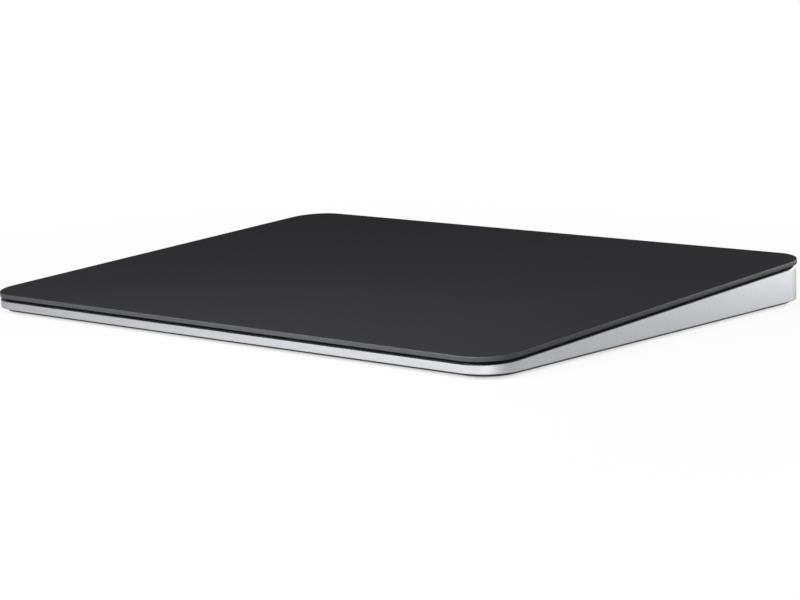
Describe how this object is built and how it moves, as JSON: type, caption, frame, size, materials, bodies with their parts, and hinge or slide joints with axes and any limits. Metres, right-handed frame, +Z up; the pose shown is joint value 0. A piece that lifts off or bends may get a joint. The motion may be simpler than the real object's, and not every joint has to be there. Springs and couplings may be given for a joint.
{
  "type": "trackpad",
  "caption": "Wedge-shaped wireless desk trackpad: black etched-glass touch plate floating on leaf flexures over a machined aluminium housing, with rear charging port and power switch.",
  "frame": {"origin": "on the desk, below the middle of the outline", "axes": "+X to the right along the long edge, +Y to the rear (thick) edge with the port, +Z up"},
  "size_m": [0.16, 0.1149, 0.0109],
  "materials": {
    "etched_black_glass": "matt etched, opaque black",
    "clear_adhesive": "optical adhesive",
    "green_laminate": "solder mask",
    "anodised_aluminium": "bead-blasted, silver anodised",
    "black_cover_plastic": "fine matt texture",
    "black_foot_rubber": "matt",
    "spring_steel": "rolled",
    "magnet_steel": "dark, plated",
    "copper_winding": "enamelled wire",
    "cell_foil": "foil pouch, black",
    "white_tape": "bonding tape",
    "black_adhesive": "foam adhesive",
    "clear_gel": "silicone gel",
    "chip_epoxy": "moulded epoxy",
    "amber_film": "polyimide film",
    "connector_plastic": "moulded",
    "dark_insert_plastic": "moulded",
    "nickel_steel": "nickel plated",
    "gold_plate": "gold plated",
    "silver_knob_plastic": "painted silver",
    "green_paint": "green mark"
  },
  "bodies": {
    "chassis": {"housing": "anodised_aluminium", "bottom_cover": "black_cover_plastic", "cover_adhesive": "black_adhesive", "foot_front_left": "black_foot_rubber", "foot_front_right": "black_foot_rubber", "foot_rear_left": "black_foot_rubber", "foot_rear_right": "black_foot_rubber", "flexure_front_left": "spring_steel", "flexure_front_right": "spring_steel", "flexure_rear_left": "spring_steel", "flexure_rear_right": "spring_steel", "flexure_screws": "nickel_steel", "strain_gauges": "amber_film", "gauge_flex_left": "amber_film", "gauge_flex_right": "amber_film", "haptic_bracket": "nickel_steel", "haptic_screws": "nickel_steel", "haptic_cores": "magnet_steel", "haptic_coils": "copper_winding", "haptic_flex": "amber_film", "battery_cell": "cell_foil", "battery_tape": "white_tape", "battery_board": "green_laminate", "battery_flex": "amber_film", "main_board": "green_laminate", "board_screws": "nickel_steel", "board_shield": "nickel_steel", "board_chips": "chip_epoxy", "board_connectors": "connector_plastic", "touch_flex": "amber_film", "charge_port_shell": "nickel_steel", "charge_port_insert": "dark_insert_plastic", "charge_port_contacts": "gold_plate", "switch_body": "dark_insert_plastic", "switch_guide": "spring_steel", "antenna_flex": "amber_film", "antenna_clip": "nickel_steel"},
    "pads": {"gel_pads": "clear_gel"},
    "touch_plate": {"touch_glass": "etched_black_glass", "glass_adhesive": "clear_adhesive", "sensor_board": "green_laminate", "sensor_chips": "chip_epoxy", "sensor_connector": "connector_plastic", "haptic_rail": "magnet_steel"},
    "power_switch": {"switch_knob": "silver_knob_plastic", "switch_slide": "dark_insert_plastic", "switch_on_mark": "green_paint", "switch_lever": "dark_insert_plastic"}
  },
  "joints": [
    {"name": "plate_press", "type": "slide", "parent": "chassis", "child": "pads", "axis": [0, 0.0521, -0.9986], "range_m": [0, 0.0002], "stiffness_N_per_m": 10000, "springref_m": -0.0001, "deforming": ["flexure_front_left", "flexure_front_right", "flexure_rear_left", "flexure_rear_right", "touch_flex"]},
    {"name": "haptic_slide", "type": "slide", "parent": "pads", "child": "touch_plate", "axis": [1, 0, 0], "range_m": [-0.0001, 0.0001], "stiffness_N_per_m": 5000, "deforming": ["touch_flex"]},
    {"name": "switch_slide", "type": "slide", "parent": "chassis", "child": "power_switch", "axis": [1, 0, 0], "range_m": [0, 0.0026]}
  ]
}
